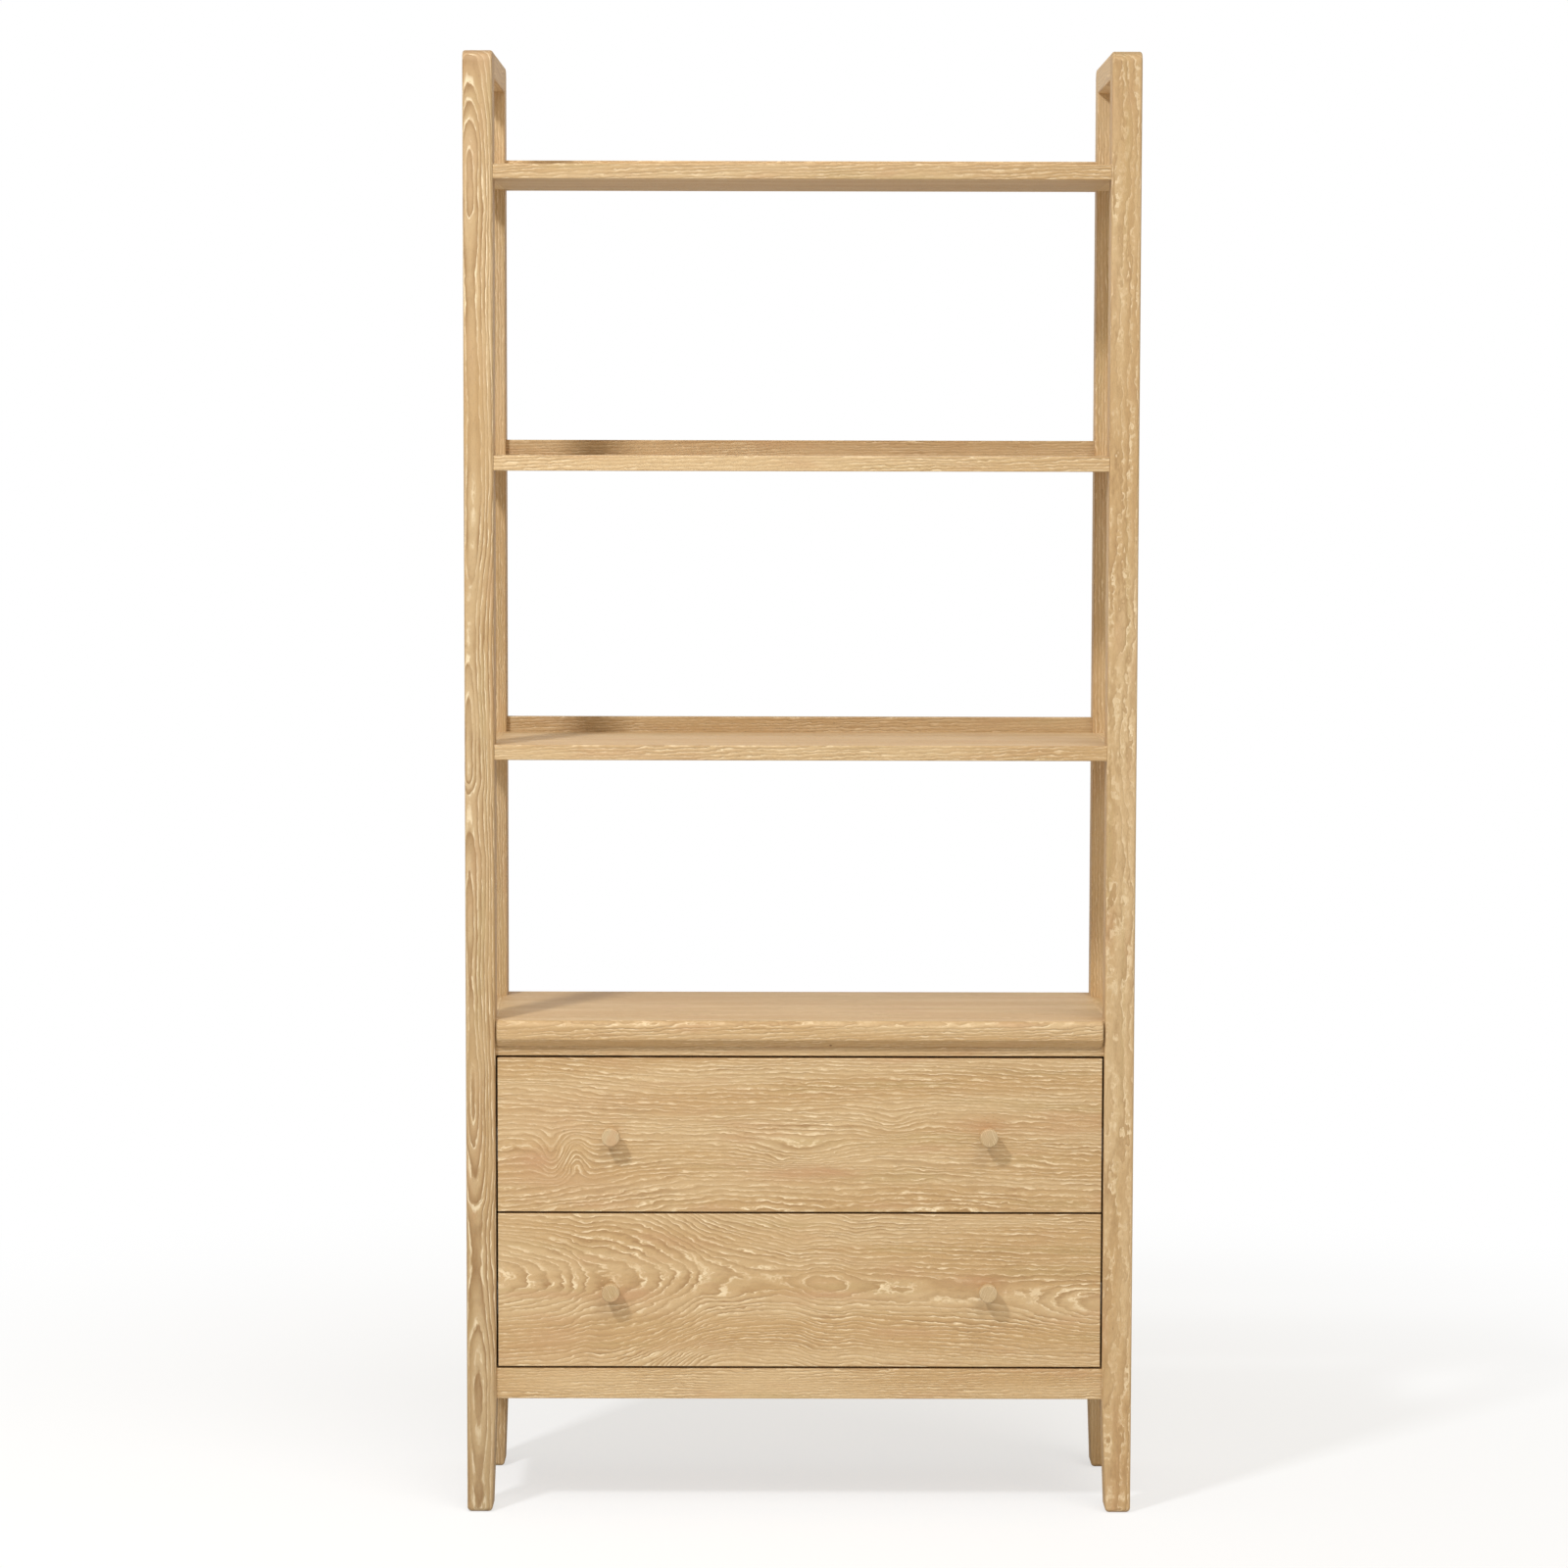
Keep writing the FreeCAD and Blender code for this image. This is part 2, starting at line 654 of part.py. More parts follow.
for name, level in (("upper", "upper_level"), ("middle", "middle_level"), ("lower", "lower_level")):
    makeShelf(name, level)

makeCabinetTop()
for name, (face, under, height) in cross_rails.items():
    makeCrossRail(name, face, under, height)
board("back_panel", *backPanelBox())
board("bottom_panel", *bottomPanelBox())
for level in ("upper", "lower"):
    makeDrawer(level)

document.recompute()

# A member of a group is written with its group, and everything else by itself.
compounds = [item for item in document.Objects if item.isDerivedFrom("Part::Compound")]
grouped = {member.Name for item in compounds for member in item.Links}
subparts = []
for item in document.Objects:
    if "Invalid" in item.State or "Error" in item.State:
        raise RuntimeError(f"{item.Name} failed: {item.State}")
    whole = item.TypeId in ("PartDesign::Body", "Part::Compound")
    if whole and item.Name not in grouped:
        subparts.append(item)
for item in subparts:
    if item.Shape.isNull() or not item.Shape.isValid():
        raise RuntimeError(f"{item.Label} has no valid shape")

os.makedirs("parts", exist_ok=True)
for item in subparts:
    item.Shape.exportStep(os.path.join("parts", f"{item.Label}.step"))
print(len(subparts), "sub-parts written")
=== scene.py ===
import math
import bmesh
import bpy
from mathutils import Matrix, Vector


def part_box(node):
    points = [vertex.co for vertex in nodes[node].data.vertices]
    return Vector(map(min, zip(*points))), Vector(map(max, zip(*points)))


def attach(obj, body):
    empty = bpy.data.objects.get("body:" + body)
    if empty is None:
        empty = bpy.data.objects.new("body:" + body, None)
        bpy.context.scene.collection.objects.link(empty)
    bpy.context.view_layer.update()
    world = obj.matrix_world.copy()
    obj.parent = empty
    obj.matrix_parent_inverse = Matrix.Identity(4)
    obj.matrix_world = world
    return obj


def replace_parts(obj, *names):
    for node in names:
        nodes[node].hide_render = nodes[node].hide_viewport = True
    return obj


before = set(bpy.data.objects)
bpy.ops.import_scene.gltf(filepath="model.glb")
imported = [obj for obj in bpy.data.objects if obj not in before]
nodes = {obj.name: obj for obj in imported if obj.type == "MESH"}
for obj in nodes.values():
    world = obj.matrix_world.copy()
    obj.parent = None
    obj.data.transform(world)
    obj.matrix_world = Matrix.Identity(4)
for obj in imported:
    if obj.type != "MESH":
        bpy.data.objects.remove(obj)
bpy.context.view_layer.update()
print("frame loaded:", len(nodes), "nodes")

perMetre = 1000  # the settings below give boards and screws in millimetres
white = (1, 1, 1, 1)


# Shader maths as plain expressions: a Wire is one output in a material's tree
class Wire:
    def __init__(self, tree, socket):
        self.tree = tree
        self.socket = socket

    def maths(self, operation, *values):
        return self.tree.node("ShaderNodeMath", {"operation": operation}, *values)

    def taken(self, operation):  # of this value alone, such as its square root
        return self.maths(operation, self)

    def above(self, base):  # 0 to 1 becomes base to 1
        return base + (1 - base) * self

    def __add__(self, other): return self.maths("ADD", self, other)
    def __sub__(self, other): return self.maths("SUBTRACT", self, other)
    def __mul__(self, other): return self.maths("MULTIPLY", self, other)
    def __truediv__(self, other): return self.maths("DIVIDE", self, other)
    def __radd__(self, other): return self.maths("ADD", other, self)
    def __rsub__(self, other): return self.maths("SUBTRACT", other, self)
    def __rmul__(self, other): return self.maths("MULTIPLY", other, self)


class Tree:
    def __init__(self, owner):
        owner.use_nodes = True
        self.nodes = owner.node_tree.nodes
        self.links = owner.node_tree.links
        self.nodes.clear()

    # Any node: its type, its settings, then values or wires for its sockets, in order or by name
    def node(self, kind, settings=None, *values, output=0, **named):
        made = self.nodes.new(kind)
        for key, value in (settings or {}).items():
            if key == "curve":
                self.drawCurve(made, value)
            elif key == "stops":
                self.placeStops(made, value)
            else:
                setattr(made, key, value)
        sockets = [s for s in made.inputs if s.enabled]
        filled = list(zip(sockets, values))
        for name, value in named.items():
            filled.append((next(s for s in sockets if s.name == name.replace("_", " ")), value))
        for socket, value in filled:
            if isinstance(value, Wire):
                self.links.new(value.socket, socket)
            else:
                socket.default_value = value
        outputs = [s for s in made.outputs if s.enabled]
        if not outputs:
            return made
        return Wire(self, outputs[output] if isinstance(output, int) else made.outputs[output])

    def drawCurve(self, made, points):
        curve = made.mapping.curves[0]
        for x, y in points[1:-1]:
            curve.points.new(x, y)
        for point, (x, y) in zip(curve.points, points):
            point.location = (x, y)
            point.handle_type = "AUTO_CLAMPED"
        made.mapping.update()

    def placeStops(self, made, stops):
        elements = made.color_ramp.elements
        while len(elements) < len(stops):
            elements.new(0.5)
        for element, (place, value) in zip(elements, stops):
            element.position = place
            element.color = (value, value, value, 1)

    def curve(self, points, place):  # a value drawn over 0 to 1, in its own units
        low = min(value for _, value in points) - 0.5
        span = max(value for _, value in points) + 0.5 - low
        drawn = [(x, (value - low) / span) for x, value in points]
        return self.node("ShaderNodeFloatCurve", {"curve": drawn}, 1.0, place) * span + low

    def ramp(self, stops, value):
        return self.node("ShaderNodeValToRGB", {"stops": stops}, value)

    def step(self, edge, value):  # 0 below the edge, 1 above it, smooth between its two values
        return self.node("ShaderNodeMapRange", {"interpolation_type": "SMOOTHSTEP"}, value, *edge)

    def vector(self, operation, *values, output=0):
        return self.node("ShaderNodeVectorMath", {"operation": operation}, *values, output=output)

    def parts(self, vector):
        split = self.node("ShaderNodeSeparateXYZ", {}, vector).socket.node
        return [Wire(self, socket) for socket in split.outputs]

    # Soft noise whose blots measure size, in the units of place, cut at an edge if one is given
    def noise(self, place, size, detail=2.0, roughness=0.5, edge=None, output=0):
        scaled = self.vector("MULTIPLY", place, tuple(1 / length for length in size))
        spread = self.node("ShaderNodeTexNoise", {}, scaled, Scale=1.0, Detail=detail, Roughness=roughness,
                           output=output)
        return self.step(edge, spread) if edge else spread

    def mix(self, amount, low, high):
        return self.node("ShaderNodeMix", {"data_type": "RGBA", "clamp_factor": True}, amount, low, high)

    def bell(self, u, v, middle, size):  # 1 in the middle, fading to 0 around it
        du = (u - middle[0]) / size[0]
        dv = (v - middle[1]) / size[1]
        return ((du * du + dv * dv) * -1.0).taken("EXPONENT")


def rgb(red, green, blue):  # 0 to 255 as seen on a screen, made linear
    return tuple(((c / 255 + 0.055) / 1.055) ** 2.4 for c in (red, green, blue)) + (1.0,)


def grey(value):
    return (value, value, value, 1)


# How a board is cut: the way its grain runs, and the way its best face looks
cuts = {
    "upright": ((0, 0, 1), (0, -1, 0)),
    "across": ((1, 0, 0), (0, -1, 0)),
    "flat": ((1, 0, 0), (0, 0, 1)),
    "sideways": ((0, 1, 0), (1, 0, 0)),
    "sideUpright": ((0, 0, 1), (1, 0, 0)),
    "turned": ((0, 1, 0), (0, 0, 1)),
}

# Oak. Each board adds its centre and its seed. Places on it are measured from its centre, in millimetres
oak = {
    "straw": rgb(212, 181, 135), "honey": rgb(200, 164, 114), "olive": rgb(184, 158, 104),
    "blush": rgb(198, 156, 113), "late": rgb(166, 128, 82), "lime": rgb(247, 224, 184),
    "fleck": rgb(124, 88, 52),
    "cut": "across", "reach": 412,             # half the board's length
    "heart": [(0, 60), (1, 60)],               # how deep the tree's heart lies behind the face, end to end
    "drift": [(0, 0), (1, 0)],                 # where it lies across the face
    "age": [],                                 # the rings' age along the middle, if not as the depth says
    "wander": 7.0, "waver": 2.0, "curl": 1.5,  # how far slow bends, small waves and curls push the grain
    "ring": 4.8, "growth": 1.6, "uneven": 1.2,  # width of a year ring, and how many rings it strays
    "dash": 15, "slant": 0.15,                 # length of a limed dash, and its change across the face
    "porous": 1.0,                             # width of the limed part of a ring
    "limed": 0.8, "patchy": 0.5, "blushed": 0.5, "lateness": 0.55,
    "roughness": 0.56, "endShade": 0.84,
    "bump": 0.8, "relief": 0.0006,             # the relief's depth is in metres
    "knots": [],                               # along, across, length, width, push aside, rings added
    "blushes": [],                             # pinkish patches: along, across, length, width, strength
    "pins": [],                                # dark pin knots: place and size
    "toneAndPaintedShade": [],                                # tone from end to end, and painted shade from the shelf above on two ledges
}

# Noise in the oak: size along the grain, across it and into the board, and the edge it is cut at
patterns = {
    "bend": {"size": (240, 55, 55), "detail": 1.0},
    "wave": {"size": (42, 11, 11)},
    "curl": {"size": (11, 5, 5), "detail": 1.0},
    "growth": {"size": (260, 16, 60), "detail": 1.0},
    "season": {"size": (75, 8, 25)},
    "warm": {"size": (110, 24, 24), "detail": 1.0},
    "took": {"size": (130, 26, 26)},
    "pore": {"size": (9, 0.45, 0.45), "roughness": 0.55, "edge": (0.54, 0.70)},
    "dash": {"roughness": 0.6, "edge": (0.45, 0.57)},
    "broad": {"size": (420, 38, 38), "edge": (0.35, 0.65)},
    "green": {"size": (300, 18, 18), "detail": 1.0, "edge": (0.56, 0.74)},
    "streak": {"size": (60, 4, 4), "detail": 1.0},
    "speck": {"size": (6, 0.7, 0.7), "detail": 1.0, "edge": (0.66, 0.74)},
}
dashWidth = (1.5, 2.2)
seedSteps = {"board": (97, 31, 17), "fibre": (53, 71, 0), "strand": (41, 67, 0)}
porousBand = [(0, 0.25), (0.09, 1), (0.26, 0.6), (0.48, 0.05), (0.97, 0)]
denseBand = [(0, 0.4), (0.12, 0), (0.5, 0.1), (0.93, 1), (1, 0.4)]
warmEdge = {"low": 0.60, "widened": 0.12, "high": 0.78}
tookEdge = {"low": 0.36, "high": 0.41, "widened": 0.45}
endEdge = (0.5, 0.85)

# How much of one pattern shows in another, in the colour, in the relief and in the roughness
weights = {
    "limeOffDash": 0.08, "limeUntaken": 0.40, "limeOnBlush": 0.75, "lateUntaken": 0.4, "lateOnBlush": 0.6,
    "pore": 0.10, "earlyPore": 0.25, "olive": 0.35, "streakLow": 0.6, "streakRange": 0.8, "speck": 0.35,
    "pin": 0.85, "pinCore": 0.4,
    "lateHigh": 0.45, "limeDeep": 0.8, "poreDeep": 0.35, "dashHigh": 0.15,
    "limeRough": 0.14, "lateSmooth": 0.06,
}


def oakFinish(name, changes):
    look = {**oak, **changes}
    material = bpy.data.materials.new(name)
    tree = Tree(material)
    along, facing = (Vector(way) for way in cuts[look["cut"]])
    turn = Matrix((along, facing.cross(along), facing)).transposed().to_euler()
    centre = Vector(look["centre"]) / perMetre
    place = tree.node("ShaderNodeTexCoord", output="Object")
    # millimetres on the board: along the grain, across it, out of the face
    millimetres = (1 / perMetre,) * 3
    board = tree.node("ShaderNodeMapping", {"vector_type": "TEXTURE"}, place, centre, turn, millimetres)

    def seeded(kind, wire):
        return tree.vector("ADD", wire, tuple(look["seed"] * step for step in seedSteps[kind]))

    def pattern(kind, wire, **more):
        return tree.noise(wire, **{**patterns[kind], **more})

    field = seeded("board", board)

    # the trunk's slow bends, then the grain's waves and curls
    bent = board
    for kind, push in (("bend", look["wander"]), ("wave", look["waver"]), ("curl", look["curl"])):
        swing = tree.vector("SUBTRACT", pattern(kind, field, output="Color"), (0.5, 0.5, 0.5))
        bent = tree.vector("ADD", bent, tree.vector("MULTIPLY", swing, (0, push * 2, push * 2)))
    u, v, w = tree.parts(bent)
    onFace = v  # across the face, before knots and drift move it
    t = (u + look["reach"]) / (2 * look["reach"])
    depth = tree.curve(look["heart"], t)
    w = depth - w

    # a knot pushes the grain aside and adds its own rings
    bulge = 0.0
    for ku, kv, length, width, push, rings in look["knots"]:
        near = tree.bell(u, v, (ku, kv), (length, width))
        v = v - (v - kv) * near * push
        bulge = near * rings + bulge
    v = v - tree.curve(look["drift"], t)
    radius = (v * v + w * w).taken("SQRT")
    if look["age"]:
        radius = radius - depth + tree.curve(look["age"], t)
    radius = radius + bulge
    fibre = seeded("fibre", tree.node("ShaderNodeCombineXYZ", {}, u, v, w))
    strand = seeded("strand", tree.node("ShaderNodeCombineXYZ", {}, u, radius, v * look["slant"]))

    # year rings: pores at the start of each, denser wood at its end
    years = radius / look["ring"] + pattern("growth", strand) * look["growth"]
    years = years + pattern("season", strand) * look["uneven"]
    phase = years.taken("FRACT")
    early = tree.ramp(porousBand, phase / look["porous"])
    dense = tree.ramp(denseBand, phase)

    # pinkish patches, where little lime took
    warmCut = (warmEdge["low"] - warmEdge["widened"] * look["blushed"], warmEdge["high"])
    warm = pattern("warm", field, edge=warmCut) * look["blushed"]
    for bu, bv, length, width, strength in look["blushes"]:
        warm = warm + tree.bell(u, onFace, (bu, bv), (length, width)) * strength

    # pores, filled with lime where the filler took
    dashes = pattern("dash", strand, size=(look["dash"], *dashWidth))
    pores = pattern("pore", fibre)
    tookCut = (tookEdge["low"], tookEdge["high"] + tookEdge["widened"] * look["patchy"])
    took = pattern("took", field, edge=tookCut)
    limed = early * dashes.above(weights["limeOffDash"]) * took.above(weights["limeUntaken"])
    limed = limed * (1 - weights["limeOnBlush"] * warm)
    late = dense * took.above(weights["lateUntaken"]) * (1 - weights["lateOnBlush"] * warm)

    # colour
    colour = tree.mix(pattern("broad", field), look["honey"], look["straw"])
    colour = tree.mix(pattern("green", field) * weights["olive"], colour, look["olive"])
    colour = tree.mix(warm, colour, look["blush"])
    streaks = weights["streakLow"] + weights["streakRange"] * pattern("streak", fibre)
    colour = tree.mix(late * look["lateness"] * streaks, colour, look["late"])
    filled = limed + pores * (weights["pore"] + weights["earlyPore"] * early)
    colour = tree.mix(filled * look["limed"], colour, look["lime"])
    specks = pattern("speck", fibre) * (1 - limed)
    colour = tree.mix(specks * weights["speck"], colour, look["fleck"])
    for spot, size in look["pins"]:
        away = tree.vector("DISTANCE", board, spot, output="Value")
        outside = tree.step((size * weights["pinCore"], size), away)
        colour = tree.mix(weights["pin"] - weights["pin"] * outside, colour, look["fleck"])

    # end grain drinks more finish, some boards are darker at one end, two ledges carry painted shade from
    # the shelf above
    normal = tree.node("ShaderNodeTexCoord", output="Normal")
    ends = tree.vector("DOT_PRODUCT", normal, tuple(along), output="Value").taken("ABSOLUTE")
    shade = 1 - (1 - look["endShade"]) * tree.step(endEdge, ends)
    if look["toneAndPaintedShade"]:
        shade = shade * tree.curve(look["toneAndPaintedShade"], t)
    colour = tree.vector("SCALE", colour, shade)

    height = late * weights["lateHigh"] - limed * weights["limeDeep"]
    height = height - pores * weights["poreDeep"] + dashes * weights["dashHigh"]
    bump = tree.node("ShaderNodeBump", {}, Strength=look["bump"], Distance=look["relief"], Height=height)
    rough = look["roughness"] + weights["limeRough"] * limed - weights["lateSmooth"] * late
    shader = tree.node("ShaderNodeBsdfPrincipled", {}, Base_Color=colour, Roughness=rough, Normal=bump)
    tree.node("ShaderNodeOutputMaterial", {}, shader)
    return material


# Zinc-plated steel: fine drawn lines and dull clouds, their sizes in metres
steel = {
    "lines": (1 / 30, 1 / 2200, 1 / 2200), "clouds": (1 / 60, 1 / 60, 1 / 60), "cloudDetail": 3.0,
    "dull": rgb(150, 152, 150), "lineDull": 0.35, "cloudDull": 0.4,
    "roughness": 0.26, "lineRough": 0.2, "cloudRough": 0.1, "bump": 0.3, "relief": 0.00005,
}


def steelFinish(name, shade, seed):
    material = bpy.data.materials.new(name)
    tree = Tree(material)
    place = tree.node("ShaderNodeTexCoord", output="Object")
    lines = tree.noise(tree.vector("ADD", place, (seed, seed, seed)), steel["lines"])
    clouds = tree.noise(place, steel["clouds"], steel["cloudDetail"])
    colour = tree.mix(steel["lineDull"] * lines + steel["cloudDull"] * clouds, shade, steel["dull"])
    rough = steel["roughness"] + steel["lineRough"] * lines + steel["cloudRough"] * clouds
    bump = tree.node("ShaderNodeBump", {}, Strength=steel["bump"], Distance=steel["relief"], Height=lines)
    shader = tree.node("ShaderNodeBsdfPrincipled", {}, Base_Color=colour, Metallic=1.0, Roughness=rough,
                       Normal=bump)
    tree.node("ShaderNodeOutputMaterial", {}, shader)
    return material


def dress(material, names):
    for name in names:
        for slot in nodes[name].material_slots:
            slot.link = "OBJECT"
            slot.material = material


def finishOak(name, changes, *names):
    dress(oakFinish(name, changes), names)


# The heart lies deep and far aside, so the lines run straight on the top and on the front edge
straight = {
    "cut": "flat", "ring": 3.4, "heart": [(0, 190), (1, 205)], "drift": [(0, -330), (1, -350)],
    "wander": 4.0, "limed": 0.75, "lateness": 0.65,
}
# Cut beside the heart: fine straight lines
rift = {
    "ring": 3.2, "heart": [(0, 70), (1, 80)], "drift": [(0, 96), (1, 104)],
    "wander": 3.5, "waver": 1.6, "limed": 0.65, "lateness": 0.6,
}
# Drawer boxes: hardly limed
plain = {
    "ring": 4.0, "heart": [(0, 60), (1, 70)], "drift": [(0, 70), (1, 80)], "limed": 0.15, "lateness": 0.4,
}

# Narrow loops left of the middle, long fine strands right of them
leftPost = {
    "cut": "upright", "centre": (-437, -145, 998), "reach": 1000, "seed": 1.0, "ring": 4.6,
    "heart": [(0, 17), (0.0265, 15.4), (0.08, 10.8), (0.1325, 15.4), (0.16, 20), (0.19, 21), (0.22, 15.4),
              (0.266, 6.2), (0.292, 3), (0.319, 6.2), (0.36, 8.4), (0.42, 5.4), (0.443, 6.2), (0.4665, 10.8),
              (0.49, 12.5), (0.515, 5), (0.5466, 6.2), (0.58, 10.8), (0.61, 13), (0.68, 8.5), (0.8, 8),
              (0.844, 9), (0.872, 8), (0.883, 6.2), (0.908, 3), (0.933, 6.2), (0.9495, 10.8), (0.962, 15.4),
              (0.976, 20), (1, 25)],
    "drift": [(0, 4), (0.08, 5), (0.3, 10), (0.45, 14), (0.58, 15), (0.72, 6), (0.85, 10), (1, 10)],
    "wander": 1.4, "waver": 1.0, "curl": 0.6, "dash": 24, "porous": 0.65,
    "patchy": 0.3, "limed": 1.5, "lateness": 1.0, "blushes": [(990, 0, 30, 60, 0.5)],
    "toneAndPaintedShade": [(0, 0.75), (0.15, 0.86), (0.4, 0.91), (0.65, 0.92), (0.83, 0.95), (0.95, 0.91), (1, 0.88)],
}
rightPost = {
    "cut": "upright", "centre": (437, -145, 998), "reach": 1000, "seed": 2.0, "ring": 3.4,
    "heart": [(0, 130), (1, 120)], "drift": [(0, 30), (1, 34)],
    "wander": 6.0, "waver": 2.6, "dash": 9, "limed": 0.75, "lateness": 0.65,
    "toneAndPaintedShade": [(0, 0.98), (0.9, 0.97), (1, 0.93)],
}
backPosts = {
    "left": {"centre": (-436, 121, 998), "seed": 3.0},
    "right": {"centre": (436, 121, 998), "seed": 4.0},
}
finishOak("leftPost", leftPost, "left_front_post")
finishOak("rightPost", rightPost, "right_front_post")
for side, post in backPosts.items():
    finishOak(side + "BackPost", {**rift, "cut": "upright", "reach": 1000, **post}, side + "_back_post")

# Rough wavy strands, with swirls left of the left knob and in the middle
upperDrawer = {
    "centre": (0, -140, 524), "seed": 5.0, "ring": 5.0,
    "heart": [(0, 60), (1, 66)], "drift": [(0, -150), (0.5, -140), (1, -150)],
    "waver": 3.2, "limed": 1.3, "patchy": 0.9, "lateness": 1.0,
    "knots": [(-412, -18, 160, 130, 0.45, 0), (-340, -26, 15, 20, 0, 14), (-306, -28, 15, 20, 0, -14),
              (4, -24, 56, 20, 0, 18), (-28, -37, 12, 7, 0, 6), (128, 16, 32, 22, 0, 10)],
    "blushes": [(-360, -34, 28, 15, 1.0), (-255, 48, 130, 17, 0.3), (255, 15, 42, 9, 0.8),
                (363, 9, 50, 9, 0.5), (5, -54, 70, 11, 0.9), (-345, 14, 66, 26, 0.3),
                (-335, -64, 90, 18, 0.6)],
}
# Nested points that run to the right, an eye in the middle, a flame at the right end
lowerDrawer = {
    "centre": (0, -140, 309), "seed": 6.0, "ring": 5.0,
    "heart": [(0, 34), (0.14, 62), (0.22, 84), (0.29, 64), (0.36, 42), (0.44, 26), (0.546, 12), (0.65, 26),
              (1, 42)],
    "drift": [(0, 18), (0.35, 21), (0.55, 8), (1, -6)],
    "age": [(0.028, 0), (0.103, 12), (0.152, 24), (0.203, 30), (0.245, 36), (0.288, 42), (0.32, 48),
            (0.349, 54), (0.42, 58), (0.49, 56), (0.546, 48), (0.6, 56), (0.7, 60), (1, 66)],
    "wander": 5.0, "waver": 2.8, "limed": 1.4, "patchy": 0.8, "lateness": 0.95, "porous": 0.75,
    "knots": [(-95, -11, 38, 12, 0, -7), (-130, -98, 90, 30, 0, 20), (420, -30, 110, 45, 0, -22)],
    "blushes": [(-240, -10, 50, 14, 0.6), (38, -6, 44, 5, 0.9), (245, 14, 44, 9, 0.9),
                (-340, -70, 60, 20, 0.5)],
}
finishOak("upperDrawer", upperDrawer, "upper_drawer_front")
finishOak("lowerDrawer", lowerDrawer, "lower_drawer_front")

shelves = {
    "upper": {"centre": (0, 0, 1844), "seed": 7.0, "toneAndPaintedShade": [(0, 0.96), (1, 0.96)]},
    "middle": {"centre": (0, 0, 1452), "seed": 7.6, "toneAndPaintedShade": [(0, 1.06), (1, 1.02)]},
    "lower": {"centre": (0, 0, 1060), "seed": 8.2},
}
# The middle and lower ledges are darkened all over: painted shade from the shelf above them
ledges = {
    "upper": {"centre": (0, 131, 1855), "seed": 16.0},
    "middle": {"centre": (0, 131, 1463), "seed": 16.7, "toneAndPaintedShade": [(0, 0.88), (1, 0.88)]},
    "lower": {"centre": (0, 131, 1071), "seed": 17.3, "toneAndPaintedShade": [(0, 0.9), (1, 0.9)]},
}
for level in ("upper", "middle", "lower"):
    finishOak(level + "Shelf", {**straight, **shelves[level]}, level + "_shelf")
    finishOak(level + "Ledge", {**rift, **ledges[level]}, level + "_ledge")

cabinetTop = {**straight, "centre": (0, 0, 683), "seed": 9.0, "pins": [((42, -142, -34), 2.6)]}
topRail = {**rift, "centre": (0, -136, 640), "seed": 9.5}
bottomRail = {**rift, "centre": (0, -140, 180), "seed": 10.0}
backRail = {**rift, "centre": (0, 160, 180), "seed": 10.4}
sideRail = {"cut": "sideways", "centre": (436, 0, 1000), "reach": 120, "seed": 11.0}
sideRails = [n for n in nodes if n.endswith("_rail") and n.startswith(("left_", "right_"))]
finishOak("cabinetTop", cabinetTop, "cabinet_top")
finishOak("topRail", topRail, "front_top_rail")
finishOak("bottomRail", bottomRail, "front_bottom_rail")
finishOak("backRail", backRail, "back_bottom_rail")
finishOak("sideRail", sideRail, *sideRails)

panels = {
    "left": {"centre": (-445, 0, 430), "seed": 12.5, "limed": 0.7},
    "right": {"centre": (445, 0, 430), "seed": 12.0},
}
for side, panel in panels.items():
    finishOak(side + "Panel", {"cut": "sideUpright", "reach": 250, **panel}, side + "_side_panel")

knob = {
    "cut": "turned", "centre": (0, -150, 300), "reach": 20, "seed": 13.0, "ring": 2.0,
    "straw": rgb(203, 178, 138), "honey": rgb(192, 163, 120), "heart": [(0, 120), (1, 120)],
    "wander": 2.0, "waver": 0.7, "limed": 0.7, "lateness": 0.6, "endShade": 1.08,
}
finishOak("knob", knob, *[n for n in nodes if n.endswith("knob")])

drawerSide = {**plain, "cut": "sideways", "centre": (400, 0, 300), "reach": 130, "seed": 14.0}
drawerBack = {**plain, "centre": (0, 120, 300), "reach": 400, "seed": 14.6}
veneer = {"centre": (0, 147, 430), "seed": 15.0, "limed": 0.3}
boxSides = [n for n in nodes if n.endswith(("drawer_left_side", "drawer_right_side", "strips"))]
thinPanels = [n for n in nodes if n.endswith("drawer_bottom") or n in ("back_panel", "bottom_panel")]
finishOak("drawerSide", drawerSide, *boxSides)
finishOak("drawerBack", drawerBack, *[n for n in nodes if n.endswith("drawer_back")])
finishOak("veneer", veneer, *thinPanels)

slideZinc = steelFinish("zincSlides", rgb(196, 198, 196), 0.3)
screwZinc = steelFinish("zincScrews", rgb(205, 204, 198), 0.7)
dress(slideZinc, [n for n in nodes if "slide" in n])
dress(screwZinc, [n for n in nodes if "screws" in n])
print("finishes on")


def meshOf(name, bm):
    mesh = bpy.data.meshes.new(name)
    bm.to_mesh(mesh)
    bm.free()
    return mesh


def placed(name, data):  # a new object in the scene
    thing = bpy.data.objects.new(name, data)
    bpy.context.scene.collection.objects.link(thing)
    return thing


def only(kind, made):  # what a bmesh operator has made of one kind
    return [g for g in made["geom"] if isinstance(g, kind)]


def settle(parts):  # edges or faces in the order of their corners, as extruding leaves them in any order
    ranked = sorted(parts, key=lambda part: sorted(vert.index for vert in part.verts))
    rank = {part: place for place, part in enumerate(ranked)}
    parts.sort(key=rank.get)


